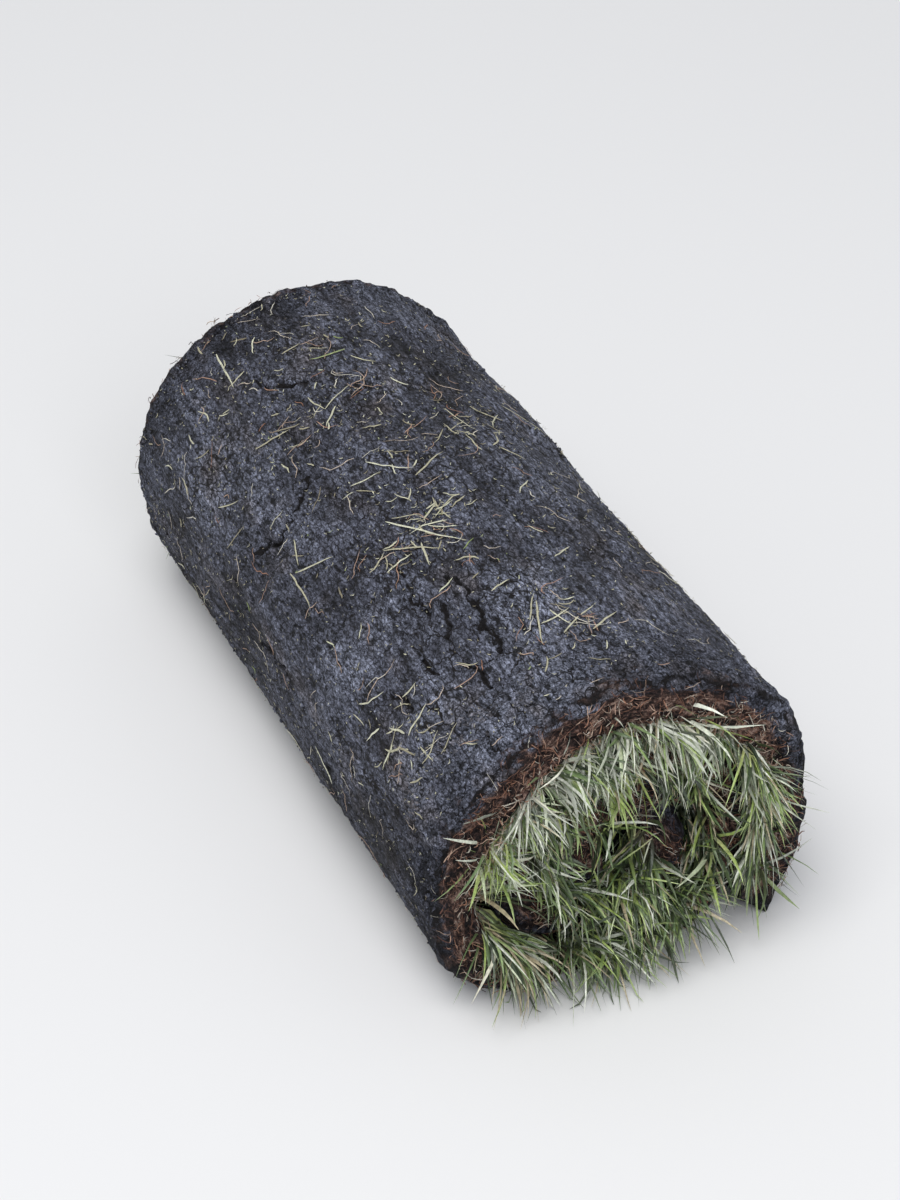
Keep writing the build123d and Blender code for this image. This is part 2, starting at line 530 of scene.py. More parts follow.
def soil_material():
    """The soil face: crumbly black soil with streaks along the roll."""
    shader = Shader("black_soil", 0.82, 0.25)
    spot = shader.spot((0.6, 1, 1))
    detail = soil_detail(shader, spot)
    return shader.finish(soil_colour(shader, spot, detail), grain(shader, detail))


def edge_material():
    """The mat's cut edge: soil at its rim, and red-brown roots and thatch along the cut."""
    shader = Shader("cut_edge", 0.85, 0.2)
    spot = shader.spot((0.8, 1, 1))
    fibre = shader.noise(shader.spot((210, 460, 460), "grain"), 1.0, 3, 0.78)
    clump = shader.noise(shader.spot((70, 110, 110), "grain"), 1.0, 2, 0.7)
    thatch = shader.ramp(
        shader.weigh((fibre, 0.55), (clump, 0.55)),
        (0.45, (0.008, 0.006, 0.007)), (0.54, (0.035, 0.022, 0.021)), (0.61, (0.15, 0.086, 0.07)),
        (0.7, (0.46, 0.32, 0.26)),
    )
    detail = soil_detail(shader, spot)
    colour = shader.mix(shader.value("thatch"), soil_colour(shader, spot, detail), thatch)
    return shader.finish(colour, shader.bump(fibre, 0.003, grain(shader, detail)))


def shaded_hollow_material():
    """The dark bottom of the gaps between turns: soil, old leaves and grass, darkened as painted shade."""
    shader = Shader("hollow", 0.9, 0.1)
    mottle = shader.noise(shader.spot(), 160, 5, 0.7)
    colour = shader.ramp(
        mottle,
        (0.35, (0.004, 0.004, 0.003)), (0.55, (0.016, 0.017, 0.008)), (0.75, (0.05, 0.055, 0.022)),
    )
    return shader.finish(colour, shader.bump(mottle, 0.003))


def grass_material():
    """Grass blades: pale at the base, green above, from dark to bright, some dead and tan; the darkest
    partly painted shade, and whitish ones painted highlights.
    """
    shader = Shader("grass_blade", 0.36, 0.6)
    height = shader.value("rise")
    tint = shader.value("tint")
    bright = shader.ramp(
        height,
        (0.0, (0.68, 0.66, 0.43)), (0.25, (0.58, 0.63, 0.26)), (0.6, (0.37, 0.5, 0.13)),
        (1.0, (0.52, 0.62, 0.29)),
    )
    green = shader.ramp(
        height,
        (0.0, (0.26, 0.26, 0.18)), (0.3, (0.17, 0.235, 0.105)), (0.7, (0.13, 0.215, 0.08)),
        (1.0, (0.27, 0.36, 0.19)),
    )
    # The darkest blades are partly dark grass and partly painted shade for the gaps between blades.
    dark = shader.ramp(
        height,
        (0.0, (0.06, 0.057, 0.04)), (0.4, (0.03, 0.044, 0.025)), (1.0, (0.06, 0.088, 0.048)),
    )
    low = shader.mix(shader.math("MULTIPLY", tint, 2.0, clamp=True), dark, green)
    high = shader.math("MULTIPLY", shader.math("SUBTRACT", tint, 0.5), 2.0, clamp=True)
    colour = shader.mix(high, low, bright)
    dead = shader.ramp(height, (0.0, (0.34, 0.27, 0.18)), (1.0, (0.58, 0.51, 0.36)))
    colour = shader.mix(shader.value("dry"), colour, dead)
    # Painted highlight: whitish blades stand in for the sky's gloss on the grass.
    colour = shader.mix(shader.value("pale"), colour, (0.8, 0.83, 0.74))
    spots = (0.3, (0.62, 0.62, 0.6)), (0.7, (1.15, 1.15, 1.12))
    colour, mottle = shader.mottled(colour, 280, 2, *spots)
    return shader.finish(colour, shader.bump(mottle, 0.0008))


def fibre_material():
    """Roots and thatch fibres: orange, pink and brown to pale."""
    shader = Shader("root_fibre", 0.7, 0.3)
    colour = shader.ramp(
        shader.value("tint"),
        (0.0, (0.024, 0.013, 0.011)), (0.3, (0.12, 0.055, 0.04)), (0.6, (0.36, 0.185, 0.12)),
        (0.8, (0.5, 0.37, 0.29)), (1.0, (0.66, 0.63, 0.55)),
    )
    return shader.finish(shader.mottled(colour, 400, 3, (0.3, 0.6), (0.7, 1.1))[0])


def straw_material():
    """Dry clippings: tan to pale yellow-green."""
    shader = Shader("dry_straw", 0.55, 0.4)
    colour = shader.ramp(
        shader.value("tint"),
        (0.0, (0.12, 0.095, 0.06)), (0.3, (0.3, 0.27, 0.19)), (0.6, (0.5, 0.48, 0.35)),
        (0.85, (0.68, 0.68, 0.54)), (1.0, (0.26, 0.33, 0.12)),
    )
    spots = (0.3, (0.62, 0.62, 0.6)), (0.65, (1.08, 1.08, 1.06))
    colour, mottle = shader.mottled(colour, 350, 4, *spots)
    return shader.finish(colour, shader.bump(mottle, 0.0004))


# The soil face and the ends

def skin_path():
    """Stations round the outer turn, over its outer end and back under it: angle and depth."""
    under = np.arange(TAIL - TURN - 0.25, np.radians(25), 0.0055 / OUTER_RADIUS)
    round_roll = np.arange(np.radians(25), TAIL, SKIN_STEP / OUTER_RADIUS)
    face = np.concatenate([under, round_roll])
    drop = np.arange(0, MAT_THICKNESS, SKIN_STEP)
    back = TAIL - np.arange(0, 0.25, 0.03)
    angle = np.concatenate([face, np.full(len(drop), TAIL), back])
    depth = np.concatenate([np.zeros(len(face)), drop, np.full(len(back), MAT_THICKNESS)])
    return angle, depth


def soil_skin(material):
    """The outer turn's soil face, from one end to the other."""
    angle, depth = skin_path()
    x = np.linspace(-SKIN_END, SKIN_END, round(2 * SKIN_END / SKIN_STEP))
    angle, x = np.meshgrid(angle, x, indexing="ij")
    depth = np.broadcast_to(depth[:, None], x.shape)
    points = place(x, angle, depth - swell(x, angle) * (depth == 0))
    height, standing, fine_crack = soil_relief(points)
    crack = crack_share(points, angle)
    points = points + outward(angle) * (height - CRACK_DEPTH * crack**2)[..., None]
    crack = np.maximum(crack, FINE_CRACK * fine_crack)
    points[..., 2] = np.maximum(points[..., 2], 0)
    looks = {"standing": standing, "crack": crack}
    return mesh_piece("soil_face", points, grid_faces(*x.shape), material, looks)


def thatch_depth(angle):
    """How deep the thatch reaches at an angle: further on the outer turn's sides and top."""
    return THATCH_DEPTH + 0.009 * clamp(0.8 - np.cos(angle)) * (angle > 0)


def soil_band(angle):
    """How deep the cut edge is bare soil: further on the outer turn's right side."""
    right = np.exp(-(((np.degrees(angle) - 243) / 32) ** 2))
    return SOIL_BAND + 0.0090 * right * (angle > LAP)


def edge_profile():
    """The mat at an end, over its rim and down its cut: X, depth, facing along X and outward."""
    back = np.linspace(EDGE_ROOT, MAT_END - RIM_RADIUS, 22)[:-1]
    rim = np.linspace(0, np.pi / 2, 6)
    cut = np.linspace(RIM_RADIUS, THATCH_DEPTH - CORNER_RADIUS, 15)[1:-1]
    corner = np.linspace(0, np.pi / 2, 4)
    side = np.linspace(MAT_END - CORNER_RADIUS, EDGE_ROOT, 13)[1:]
    x = [back, MAT_END - RIM_RADIUS * (1 - np.sin(rim)), 0 * cut + MAT_END]
    x += [MAT_END - CORNER_RADIUS * (1 - np.cos(corner)), side]
    depth = [0 * back, RIM_RADIUS * (1 - np.cos(rim)), cut]
    depth += [THATCH_DEPTH - CORNER_RADIUS * (1 - np.sin(corner)), 0 * side + THATCH_DEPTH]
    face = [0 * back, np.sin(rim), 0 * cut + 1, np.cos(corner), 0 * side]
    out = [0 * back + 1, np.cos(rim), 0 * cut, -np.sin(corner), 0 * side - 1]
    return [np.concatenate(values) for values in (x, depth, face, out)]


def hollow_share(points):
    """How far points of the near end are inside one of the hollows, from 0 to 1."""
    share = np.zeros(points.shape[:-1])
    for y, z, wide, high in HOLLOWS:
        away = ((points[..., 1] - y) / wide) ** 2 + ((points[..., 2] - z) / high) ** 2
        share = np.maximum(share, np.exp(-away**2))
    return share * (points[..., 0] > 0)


def cut_relief(end, angle, depth):
    """How far the cut face stands out, and how far the whole edge wavers along the roll."""
    run = length_at(angle)
    spots = np.stack(np.broadcast_arrays(run, depth * 2.5, end * 5.0), axis=-1)
    tufts = 0.0075 * (noise(spots, 0.026, 11) - 0.5) + 0.0045 * (noise(spots, 0.010, 12) - 0.5)
    tufts = tufts + 0.0026 * (0.6 - crumbs(spots, 0.0075, 13)[0])
    level = spots * (1, 0, 1)
    waver = 0.010 * (noise(level, 0.075, 14) - 0.5) + 0.005 * (noise(level, 0.018, 15) - 0.5)
    inner = clamp((TAIL - TURN - 0.3 - angle) / 0.6)
    hollow = hollow_share(place(end * MAT_END, angle, depth))
    return tufts, waver - SET_BACK * inner - HOLLOW_DEPTH * hollow


def edge_looks(points, angle, x, depth, face, out):
    """The thatch on the mat's edge, and a painted shadow line, black and ragged, under the crumbled soil
    rim, from 0 to 1.
    """
    ragged = 0.007 * (noise(points, 0.011, 21) - 0.5) + 0.005 * (noise(points, 0.0045, 22) - 0.5)
    stained = 0.35 * clamp((x - 0.299 + 4 * ragged) / 0.003)
    stained = stained * clamp(out) * (noise(points, 0.03, 23) > 0.5)
    thatch = clamp((depth + 1.5 * ragged - soil_band(angle)) / 0.0035)
    thatch = np.maximum(thatch * clamp((x - 0.255) / 0.03), stained)
    thatch = thatch * (1 - 0.6 * hollow_share(points)) * clamp((TAIL - angle) / 0.12)
    # Painted shadow: a ragged black line where the soil rim overhangs the thatch.
    black = 0.32 + 0.55 * noise(points, 0.007, 24)
    black = black * clamp(1.6 * face) * clamp((0.0085 - depth + 1.3 * ragged) / 0.0035)
    return thatch, black


def mat_edge(end, material):
    """The mat's edge at one end of the roll, along the whole winding."""
    angle = START + angle_at(np.linspace(0, SHEET_LENGTH, round(SHEET_LENGTH / EDGE_STEP)))
    x, depth, face, out = edge_profile()
    angle, x = np.meshgrid(angle, x, indexing="ij")
    depth, face, out = (np.broadcast_to(values, x.shape) for values in (depth, face, out))
    depth = depth * thatch_depth(angle) / THATCH_DEPTH
    points = place(end * x, angle, depth - swell(end * x, angle) * (depth == 0))
    height, standing, crack = soil_relief(points)
    tufts, waver = cut_relief(end, angle, depth)
    loose = clamp((x - 0.270) / 0.025)
    soil_side = clamp(out) * (1 + 0.8 * loose)
    ahead = tufts * np.abs(face) + waver * loose
    points = points + outward(angle) * (height * soil_side)[..., None]
    points[..., 0] += end * ahead
    points[..., 2] = np.maximum(points[..., 2], 0)
    thatch, black = edge_looks(points, angle, x, depth, face, out)
    # The painted rim shadow joins the cracks, which the material paints black.
    crack = np.maximum(FINE_CRACK * crack * clamp(out), black)
    grain_spots = np.stack([length_at(angle), depth, x], axis=-1)
    looks = {"standing": standing, "crack": crack, "thatch": thatch, "grain": grain_spots}
    faces = grid_faces(*x.shape)[:, ::end]
    return mesh_piece(SIDES[end] + "edge", points, faces, material, looks)


def eye_wall(x, angle):
    """Points on the wall of the open eye."""
    y = EYE_MIDDLE[0] - EYE_WIDTH * np.sin(angle)
    z = EYE_MIDDLE[1] - EYE_HEIGHT * np.cos(angle)
    return np.stack([x, y, z], axis=-1)


def hollow_floor(end, material):
    """A dark sheet of painted shade at the bottom of the gaps between the turns, with the open eye left in
    it.
    """
    angle = np.linspace(0, TURN, 121)
    share = np.linspace(0, 1, 26)
    angle, share = np.meshgrid(angle, share, indexing="ij")
    inner = eye_wall(0 * angle, angle)
    outer = place(0, angle + (angle > TAIL) * -TURN, 0.012)
    points = inner + (outer - inner) * share[..., None]
    points[..., 0] = end * (EDGE_ROOT + 0.002 + 0.010 * (noise(points, 0.012, 41) - 0.5))
    points[..., 2] = np.maximum(points[..., 2], 0)
    faces = grid_faces(*share.shape)[:, ::-end]
    return mesh_piece(SIDES[end] + "hollow", points, faces, material, {})


def eye_lining(material):
    """The wall of the open eye through the middle of the roll, dark as painted shade."""
    angle = np.linspace(0, TURN, 33)
    x = np.linspace(-EDGE_ROOT - 0.004, EDGE_ROOT + 0.004, 120)
    angle, x = np.meshgrid(angle, x, indexing="ij")
    faces = grid_faces(*x.shape)[:, ::-1]
    return mesh_piece("eye_lining", eye_wall(x, angle), faces, material, {})


# Grass and loose bits

# The near and the far end: side, blades before some are left out, and seed
ENDS = ((1, 14500, 101), (-1, 11500, 202))
FIBRES, CRUMBS = 4800, 1500
# How far apart tufts stand, and how far back from the mat's end they grow
TUFT_SPACING = 0.011
TUFT_INSET = 0.050
# How much of the outer end has little grass
BARE_TAIL = 0.075


def keep_in_gap(points, home):
    """Holds the points that are inside the roll between the mat and the next turn's soil."""
    y, z = points[:, 1] - MIDDLE_Y, points[:, 2] - MIDDLE_Z
    angle = np.arctan2(-y, -z)
    angle = home + (angle - home + np.pi) % TURN - np.pi
    depth = soil_radius(angle) - np.hypot(y, z) / slump(angle)
    lowest = np.where(angle - TURN > START, PITCH - 0.003, soil_radius(angle) - 0.002)
    inside = np.abs(points[:, 0]) < MAT_END + 0.002
    depth = np.where(inside, np.clip(depth, MAT_THICKNESS + 0.001, lowest), depth)
    held = place(points[:, 0], angle, depth)
    held[:, 0] = np.clip(held[:, 0], -REACH, REACH)
    return held


def grow(roots, heading, length, droop, sway, home, steps=5):
    """Lines of blades that start along a heading and bend down under their weight."""
    lines = [roots]
    floor_gap = 0.0006 + 0.003 * np.abs(sway[:, 0])
    for step in range(steps):
        heading = heading + sway * 0.35
        heading[:, 2] -= droop * (step + 0.5) / steps
        heading = unit(heading)
        spot = keep_in_gap(lines[-1] + heading * (length / steps)[:, None], home)
        spot[:, 2] = np.maximum(spot[:, 2], floor_gap)
        lines.append(spot)
    return np.stack(lines, axis=1)


def blade_sides(rng, lines, width):
    """Half-width vectors of blades, slowly twisting, and the fold along their middle."""
    way = unit(np.diff(lines, axis=1, append=lines[:, -1:] * 2 - lines[:, -2:-1]))
    side = unit(rng.normal(size=(len(lines), 3)))[:, None, :]
    side = unit(side - way * (side * way).sum(axis=-1, keepdims=True))
    normal = np.cross(way, side)
    taper = np.interp(np.linspace(0, 1, lines.shape[1]), (0, 0.2, 0.6, 0.85, 1), (0.7, 1, 0.9, 0.5, 0.06))
    across = side * (width[:, None] * taper / 2)[..., None]
    lift = normal * (width[:, None] * taper * 0.22)[..., None]
    return across, lift


def grass_piece(name, rng, lines, width, tint, dry, pale, material):
    """A mesh of blades along their lines."""
    points, faces = strips(lines, *blade_sides(rng, lines, width))
    steps = lines.shape[1]
    looks = {"rise": np.tile(np.repeat(np.linspace(0, 1, steps), 3), len(lines))}
    for key, values in (("tint", tint), ("dry", dry), ("pale", pale)):
        looks[key] = np.repeat(values, 3 * steps)
    return mesh_piece(name, points, faces, material, looks)


def tufted(rng, tuft, spread, own):
    """Random numbers that the blades of a tuft mostly share."""
    shared = rng.normal(0, spread, (tuft.max() + 1, 3))
    return shared[tuft] + rng.normal(0, own, (len(tuft), 3))


def turn_places(home):
    """Whether blades grow on the outer turn, and how far below, above and left on it."""
    outer = home > LAP
    below, above = clamp(np.cos(home)), clamp(-np.cos(home))
    side = np.degrees(home) % 360
    left = np.exp(-((side - 102) / 26) ** 2) * outer
    low_left = np.exp(-((side - 42) / 16) ** 2) * outer
    return outer, below, above, left, low_left


def blade_lines(end, rng, home, inset, tuft):
    """Blades that spring from the mat's grass side and hang over its end, and their widths."""
    count = len(home)
    outer, below, above, left, _ = turn_places(home)
    root_depth = thatch_depth(home) - 0.002 + rng.uniform(0, 0.003, count)
    roots = place(end * (MAT_END - 0.003 - inset), home, root_depth)
    heading = -outward(home) * (rng.uniform(0.35, 1.0, count) + 0.5 * left)[:, None]
    heading += along(home) * 0.15 + tufted(rng, tuft, 0.36, 0.34)
    forward = np.abs(heading[:, 0]) + rng.uniform(0.25, 0.9, count) + 0.35 * below
    heading[:, 0] = end * forward * (1 - 0.5 * left)
    length = rng.uniform(0.028, 0.062, count) * (1 + 0.30 * below) * np.where(outer, 1, 0.85) + inset * 0.4
    width = 0.0012 + 0.0024 * rng.beta(1.3, 1.8, count)
    droop = rng.uniform(0.10, 0.80, count) * (1 + 0.5 * above) * (1 - 0.9 * left)
    sway = tufted(rng, tuft, 0.24, 0.34)
    return grow(roots, unit(heading), length, droop, sway, home), width


def blade_tones(rng, home, tuft):
    """How bright, how dead and how pale blades are, from 0 to 1, with painted shade in the darker ones and
    painted highlights in the pale ones.
    """
    count = len(home)
    outer, below, above, left, low_left = turn_places(home)
    shade = tufted(rng, tuft, 0.18, 0.50)[:, 0]
    # Painted shade: blades darker low on the outer turn and on the inner turns.
    tint = clamp(0.43 + shade - 0.17 * below * outer + 0.32 * left - 0.08 * ~outer)
    dead = rng.normal(0, 0.05, count) + (rng.uniform(size=count) < 0.09 + 0.20 * low_left)
    # Painted highlight: more pale blades on top and to the left, fewer below and on the inner turns.
    highlight_share = 0.26 + (0.34 * above - 0.12 * below) * outer + 0.14 * left - 0.12 * ~outer
    pale = (rng.uniform(size=count) < highlight_share) * rng.uniform(0.4, 1.0, count)
    return tint, clamp(dead), pale


def end_grass(end, count, seed, material):
    """The grass on the mat's inner side that springs out of one end in tufts."""
    rng = np.random.default_rng(seed)
    run = rng.uniform(0.06, SHEET_LENGTH - 0.035, count)
    inset = TUFT_INSET * rng.beta(0.9, 1.7, count)
    tuft = (run / TUFT_SPACING).astype(int) * 3 + (inset / TUFT_SPACING / 2).astype(int) % 3
    fullness = 0.05 + 0.95 * rng.beta(0.8, 0.85, tuft.max() + 1)
    home = START + angle_at(run)
    lines, width = blade_lines(end, rng, home, inset, tuft)
    outer, below, above, _, _ = turn_places(home)
    covers = hollow_share(lines[:, 2:]).max(axis=1)
    bare = np.maximum(1.5 * covers, 0.7 * (run > SHEET_LENGTH - BARE_TAIL))
    bare = np.maximum(bare, np.where(outer, 0.16 * above + 0.42 * below, 0.36))
    kept = (rng.uniform(size=count) < fullness[tuft]) & (rng.uniform(size=count) > bare)
    held = (values[kept] for values in (lines, width, *blade_tones(rng, home, tuft)))
    return grass_piece(SIDES[end] + "grass", rng, *held, material)


def edge_fibres(end, count, seed, material):
    """Roots and thatch fibres that lie along the cut edge and fray out of it."""
    rng = np.random.default_rng(seed)
    home = START + angle_at(rng.uniform(0.01, SHEET_LENGTH - 0.01, count))
    depth = (-0.001 + 0.040 * rng.beta(1.6, 1.3, count)) * thatch_depth(home) / THATCH_DEPTH
    depth = depth + 1.2 * (soil_band(home) - SOIL_BAND) * clamp(1.4 - depth / THATCH_DEPTH)
    length = 0.003 + 0.019 * rng.beta(1, 2.6, count)
    slant = rng.normal(0, 1.1, count)
    curl = rng.normal(0, 0.9, count)
    steps = np.linspace(-0.5, 0.5, 5)
    turn = slant[:, None] + curl[:, None] * steps
    radius = soil_radius(home)[:, None]
    angle = home[:, None] + length[:, None] * steps * np.cos(turn) / radius
    depth = depth[:, None] + length[:, None] * steps * np.sin(turn)
    depth = np.clip(depth, -0.0015, (thatch_depth(home) + 0.007)[:, None])
    tufts, waver = cut_relief(end, angle, depth)
    rise = rng.uniform(0.0004, 0.0036, count)[:, None] + rng.normal(0, 0.0040, count)[:, None] * steps
    rise = rise - 0.004 * clamp(1 - depth / RIM_RADIUS)
    lines = place(end * (MAT_END + tufts + waver + rise), angle, depth)
    lines[..., 2] = np.maximum(lines[..., 2], 0.0004)
    width = rng.uniform(0.0003, 0.0010, count)
    points, faces = strips(lines, *blade_sides(rng, lines, width))
    tint = clamp(rng.normal(0.36, 0.28, count) + 0.30 * depth[:, 2] / THATCH_DEPTH)
    looks = {"tint": np.repeat(tint, 3 * len(steps))}
    return mesh_piece(SIDES[end] + "fibres", points, faces, material, looks)


def lay_on_soil(rng, x, angle, way, length, width, curl, clearance, steps):
    """Lines of loose bits that lie on the soil face, and their sides."""
    count = len(x)
    share = np.linspace(-0.5, 0.5, steps)
    turn = way[:, None] + np.cumsum(rng.normal(0, 1, (count, steps)) * curl, axis=1)
    part = length[:, None] / steps
    places = np.stack([np.cumsum(np.cos(turn), axis=1), np.cumsum(np.sin(turn), axis=1)], axis=-1)
    places = places * part[..., None]
    places = places - places.mean(axis=1, keepdims=True)
    spot_x = np.clip(x[:, None] + places[..., 0], -MAT_END + RIM_ROOM, MAT_END - RIM_ROOM)
    spot_angle = angle[:, None] + places[..., 1] / (soil_radius(angle) * slump(angle))[:, None]
    base = place(spot_x, spot_angle, -swell(spot_x, spot_angle))
    height = soil_relief(base)[0]
    height = np.maximum(height, height.mean(axis=1, keepdims=True))
    out = outward(spot_angle)
    rise = clearance[:, None] * (1 + 2 * share**2 * rng.uniform(0, 3, count)[:, None])
    lines = base + out * (height + rise)[..., None]
    lines[..., 2] = np.maximum(lines[..., 2], 0.001)
    way = unit(np.diff(lines, axis=1, append=lines[:, -1:] * 2 - lines[:, -2:-1]))
    side = np.cross(way, out)
    taper = np.interp(np.linspace(0, 1, steps), (0, 0.15, 0.75, 1), (0.45, 1, 0.85, 0.15))
    across = side * (width[:, None] * taper / 2)[..., None]
    lift = out * (width[:, None] * taper * 0.3)[..., None]
    return lines, across, lift


# Long clippings on the soil: millimetres along the roll, degrees round it, length, and way in degrees
LONG_STRAWS = (
    (66, 165, 90, 22), (76, 159, 58, 41), (-23, 169, 48, 47), (-132, 170, 40, 118), (-129, 146, 38, 72),
    (22, 125, 50, -6), (15, 133, 43, 43), (131, 160, 18, 95), (160, 172, 20, 110), (213, 174, 55, -11),
    (216, 180, 26, 20), (220, 185, 53, 122), (229, 191, 38, 109), (46, 170, 25, 130), (138, 195, 26, 130),
    (247, 127, 22, 5), (-9, 131, 30, -30), (-120, 122, 34, 35), (-62, 199, 43, 15), (-2, 205, 28, 35),
    (32, 70, 62, 25), (-170, 185, 26, 50), (-243, 147, 60, -10), (-90, 228, 55, 60), (60, 240, 48, -20),
    (150, 232, 40, 80), (-200, 245, 60, 15), (190, 262, 50, 140), (-60, 268, 45, 50), (110, 85, 40, 150),
)
# Where short clippings gather: metres along the roll, degrees round it, and their spread in metres
STRAW_PATCHES = (
    (0.222, 184, 0.035), (0.070, 160, 0.030), (0.045, 172, 0.020), (-0.060, 168, 0.050),
    (-0.125, 160, 0.040), (-0.250, 140, 0.060), (-0.060, 200, 0.030), (0.235, 125, 0.030),
    (-0.220, 180, 0.050), (0.080, 225, 0.070), (-0.140, 250, 0.080), (-0.100, 110, 0.080),
)
PATCH_SPREAD = 0.75
# Scattered bits: name, seed, count, share in the patches, shortest and longest, thinnest and widest,
# curl, middle and spread of their tint, finish, and points along each
SCATTERED = (
    ("straw", 301, 190, 0.7, (0.008, 0.045), (0.0008, 0.0018), 0.20, (0.58, 0.2), "straw", 6),
    ("root_hairs", 302, 260, 0.4, (0.012, 0.055), (0.0005, 0.0010), 0.45, (0.82, 0.16), "thatch", 7),
    ("flecks", 303, 2600, 0.25, (0.0015, 0.009), (0.0005, 0.0014), 0.3, (0.5, 0.22), "straw", 3),
)


def soil_places(rng, count, gathered):
    """Places on the soil face, a share of them gathered in the patches."""
    x = rng.uniform(-MAT_END + 0.01, MAT_END - 0.01, count)
    angle = np.radians(rng.uniform(52, 300, count))
    patches = np.array(STRAW_PATCHES)[rng.integers(0, len(STRAW_PATCHES), count)]
    chosen = rng.uniform(size=count) < gathered
    spread = patches[:, 2] * PATCH_SPREAD
    near_x = patches[:, 0] + rng.normal(0, 1, count) * spread
    near_angle = np.radians(patches[:, 1]) + rng.normal(0, 1, count) * spread / OUTER_RADIUS
    x = np.clip(np.where(chosen, near_x, x), -MAT_END + 0.01, MAT_END - 0.01)
    return x, np.where(chosen, near_angle, angle)


def loose_bits(name, rng, places, length, width, curl, tints, material, steps):
    """Loose strips of one kind over the soil face."""
    count = len(length)
    clearance = rng.uniform(0.0003, 0.0014, count)
    points, faces = strips(*lay_on_soil(rng, *places, length, width, curl, clearance, steps))
    tint = clamp(rng.normal(*tints, count))
    return mesh_piece(name, points, faces, material, {"tint": np.repeat(tint, 3 * steps)})


def long_straws(material):
    """The long clippings that stand out on the soil face."""
    rng = np.random.default_rng(300)
    x, angle, length, way = np.array(LONG_STRAWS, dtype=float).T
    places = (x / 1000, np.radians(angle), np.radians(way))
    width = rng.uniform(0.0011, 0.0018, len(x))
    length = length / 1000
    return loose_bits("long_straw", rng, places, length, width, 0.07, (0.68, 0.15), material, 7)


def scattered_bits(name, seed, count, gathered, lengths, widths, curl, tints, material, slot, steps):
    """Loose strips of one kind scattered over the soil face."""
    rng = np.random.default_rng(seed)
    places = (*soil_places(rng, count, gathered), rng.uniform(0, TURN, count))
    low, high = lengths
    length = low + (high - low) * rng.beta(1, 2.5, count)
    width = rng.uniform(*widths, count)
    return loose_bits(name, rng, places, length, width, curl, tints, material, steps)


def ball():
    """Points and faces of a small twenty-sided crumb."""
    golden = (1 + 5**0.5) / 2
    points = np.array([(0, s, t * golden) for s in (-1, 1) for t in (-1, 1)])
    points = np.concatenate([points, points[:, [1, 2, 0]], points[:, [2, 0, 1]]])
    apart = np.linalg.norm(points[:, None] - points, axis=-1)
    faces = []
    for i, j, k in product(range(12), repeat=3):
        # Points that share an edge are 2 apart, and the next nearest more than 3
        if i < j < k and max(apart[i, j], apart[j, k], apart[i, k]) < 2.1:
            normal = np.cross(points[j] - points[i], points[k] - points[i])
            faces.append((i, j, k) if normal @ points[i] > 0 else (i, k, j))
    return unit(points), np.array(faces)


def loose_crumbs(count, seed, material):
    """Crumbs of soil that have come loose, some of them gathered along the rims."""
    rng = np.random.default_rng(seed)
    shape, faces = ball()
    at_rim = rng.uniform(size=count) < 0.12
    x = rng.uniform(-MAT_END, MAT_END, count)
    rim = (MAT_END - 0.012 * np.abs(rng.normal(size=count))) * rng.choice([-1, 1], count)
    x = np.clip(np.where(at_rim, rim, x), -MAT_END + RIM_ROOM, MAT_END - RIM_ROOM)
    angle = np.radians(rng.uniform(45, 305, count))
    size = 0.0006 + 0.0018 * rng.beta(1.2, 3, count)
    base = place(x, angle, -swell(x, angle))
    middle = base + outward(angle) * (soil_relief(base)[0] + 0.1 * size)[:, None]
    lumps = shape[None] * rng.uniform(0.7, 1.25, (count, 12, 1)) * rng.uniform(0.7, 1.3, (count, 1, 3))
    points = middle[:, None] + lumps * size[:, None, None]
    faces = (faces[None] + 12 * np.arange(count)[:, None, None]).reshape(-1, 3)
    standing = np.repeat(rng.uniform(0.3, 1.0, count), 12)
    looks = {"standing": standing, "crack": 0 * standing}
    return mesh_piece("soil_crumbs", points, faces, material, looks)


# The studio

PALE = (0.80, 0.80, 0.81, 1)
# How far out the floor passes into the backdrop
FADE_START, FADE_END = 1.0, 3.5
# Where the lamps look
LAMP_AIM = (0, 0, 0.12)


def seen(nodes, links):
    """Whether the camera sees a place, itself or in gloss or glass."""
    path = nodes.new("ShaderNodeLightPath")
    share = path.outputs["Is Camera Ray"]
    for ray in ("Is Glossy Ray", "Is Transmission Ray"):
        either = nodes.new("ShaderNodeMath")
        either.operation = "MAXIMUM"
        links.new(share, either.inputs[0])
        links.new(path.outputs[ray], either.inputs[1])
        share = either.outputs[0]
    return share


def mix_shaders(nodes, links, share, first, second, output):
    """Links an output to a mix of two shaders."""
    mixed = nodes.new("ShaderNodeMixShader")
    for socket, value in zip(mixed.inputs, (share, first.outputs[0], second.outputs[0])):
        links.new(value, socket)
    links.new(mixed.outputs[0], nodes[output].inputs["Surface"])


def studio_floor():
    """A plain pale floor that runs on into the backdrop's colour."""
    bpy.ops.mesh.primitive_plane_add(size=60, location=(0, 0, -0.0002))
    floor = bpy.context.object
    floor.name = "studio_floor"
    shader = Shader("pale_floor", 0.9, 0.1)
    shader.surface.inputs["Base Color"].default_value = PALE
    spot = shader.spot()
    away = shader.node("VectorMath", {0: spot}, operation="LENGTH").outputs["Value"]
    values = {"Value": away, "From Min": FADE_START, "From Max": FADE_END}
    far = shader.node("MapRange", values, interpolation_type="SMOOTHSTEP").outputs["Result"]
    backdrop = shader.node("Emission", {"Color": PALE})
    share = shader.math("MULTIPLY", far, seen(shader.nodes, shader.links))
    mix_shaders(shader.nodes, shader.links, share, shader.surface, backdrop, "Material Output")
    floor.data.materials.append(shader.material)


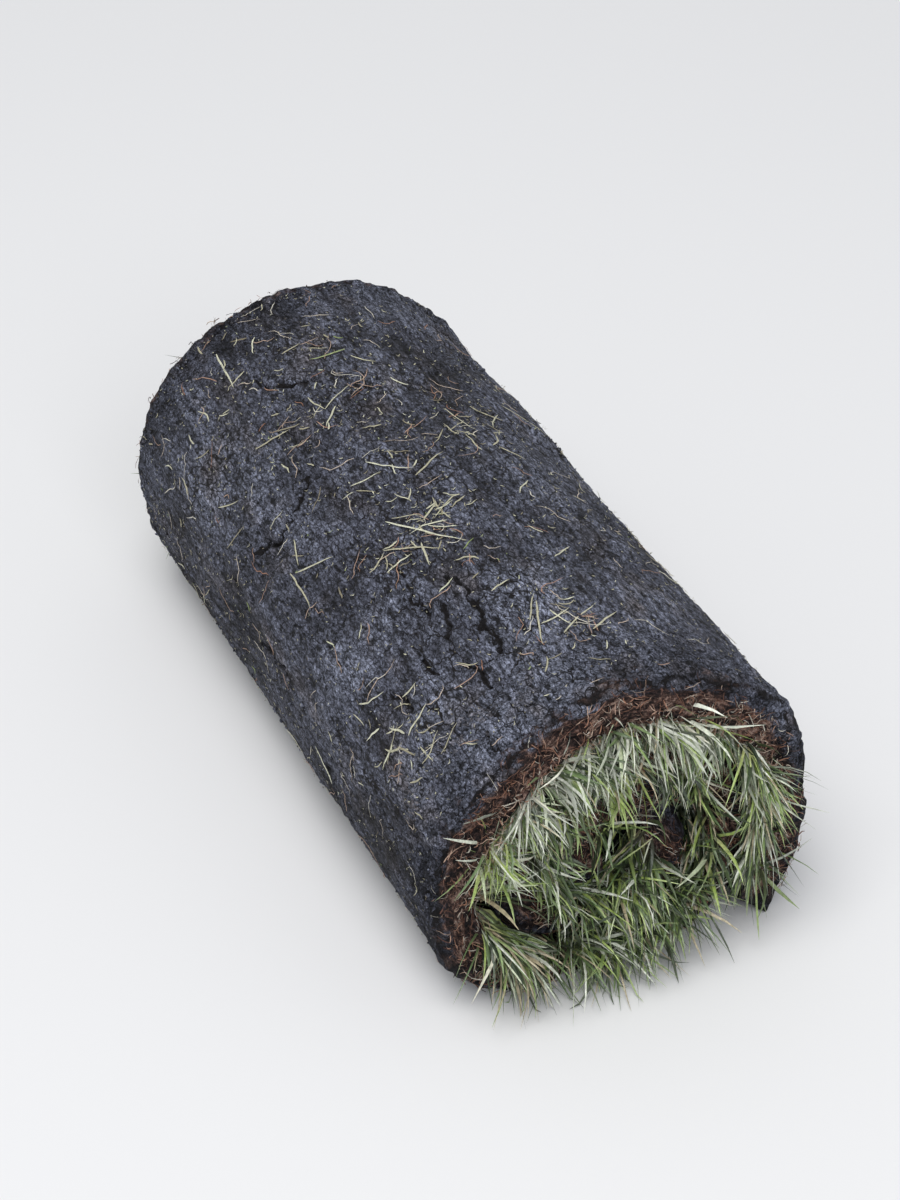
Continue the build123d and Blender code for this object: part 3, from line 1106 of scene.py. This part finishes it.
def lamp(name, spot, size, power, colour):
    """A soft square lamp that looks at the roll."""
    data = bpy.data.lights.new(name, "AREA")
    data.size = size
    data.energy = power
    data.color = colour
    held = bpy.data.objects.new(name, data)
    held.location = spot
    held.rotation_euler = (Vector(LAMP_AIM) - Vector(spot)).to_track_quat("-Z", "Y").to_euler()
    bpy.context.scene.collection.objects.link(held)


def studio_light():
    """Even light all round, a soft lamp high on the left, and a weak one before the near end."""
    world = bpy.data.worlds.new("studio")
    bpy.context.scene.world = world
    world.use_nodes = True
    nodes, links = world.node_tree.nodes, world.node_tree.links
    light = nodes["Background"]
    light.inputs["Color"].default_value = (0.93, 0.96, 1.0, 1)
    light.inputs["Strength"].default_value = 0.45
    backdrop = nodes.new("ShaderNodeBackground")
    backdrop.inputs["Color"].default_value = PALE
    mix_shaders(nodes, links, seen(nodes, links), light, backdrop, "World Output")
    lamp("sky_lamp", (1.6, -2.2, 7.2), 4.8, 370, (1.0, 0.99, 0.97))
    lamp("front_lamp", (5.2, -0.8, 4.0), 3.0, 110, (0.97, 0.98, 1.0))


def studio_camera(azimuth, elevation, distance, lens):
    """The camera at the photograph's viewing angle."""
    data = bpy.data.cameras.new("camera")
    data.lens = lens
    camera = bpy.data.objects.new("camera", data)
    low, high = (Vector(corner) for corner in CAD_BOX)
    middle = (low + high) / 2
    side, rise = np.radians((azimuth, elevation))
    way = Vector((np.sin(side) * np.cos(rise), -np.cos(side) * np.cos(rise), np.sin(rise)))
    camera.location = middle + way * distance
    camera.rotation_euler = (-way).to_track_quat("-Z", "Y").to_euler()
    bpy.context.scene.collection.objects.link(camera)
    bpy.context.scene.camera = camera


def build_roll():
    """The roll, from its soil face and ends to the loose bits on it."""
    soil = soil_material()
    edge = edge_material()
    hollow = shaded_hollow_material()
    grass = grass_material()
    fibre = fibre_material()
    straw = straw_material()
    soil_skin(soil)
    eye_lining(hollow)
    for end, blades, seed in ENDS:
        mat_edge(end, edge)
        hollow_floor(end, hollow)
        end_grass(end, blades, seed, grass)
        edge_fibres(end, FIBRES, seed + 1, fibre)
    long_straws(straw)
    finishes = {"straw": straw, "thatch": fibre}
    for *kind, slot, steps in SCATTERED:
        scattered_bits(*kind, finishes[slot], slot, steps)
    loose_crumbs(CRUMBS, 304, soil)


bpy.context.scene.view_settings.view_transform = "Standard"
studio_camera(azimuth=65, elevation=36.4, distance=2.36, lens=88)
studio_floor()
studio_light()
build_roll()
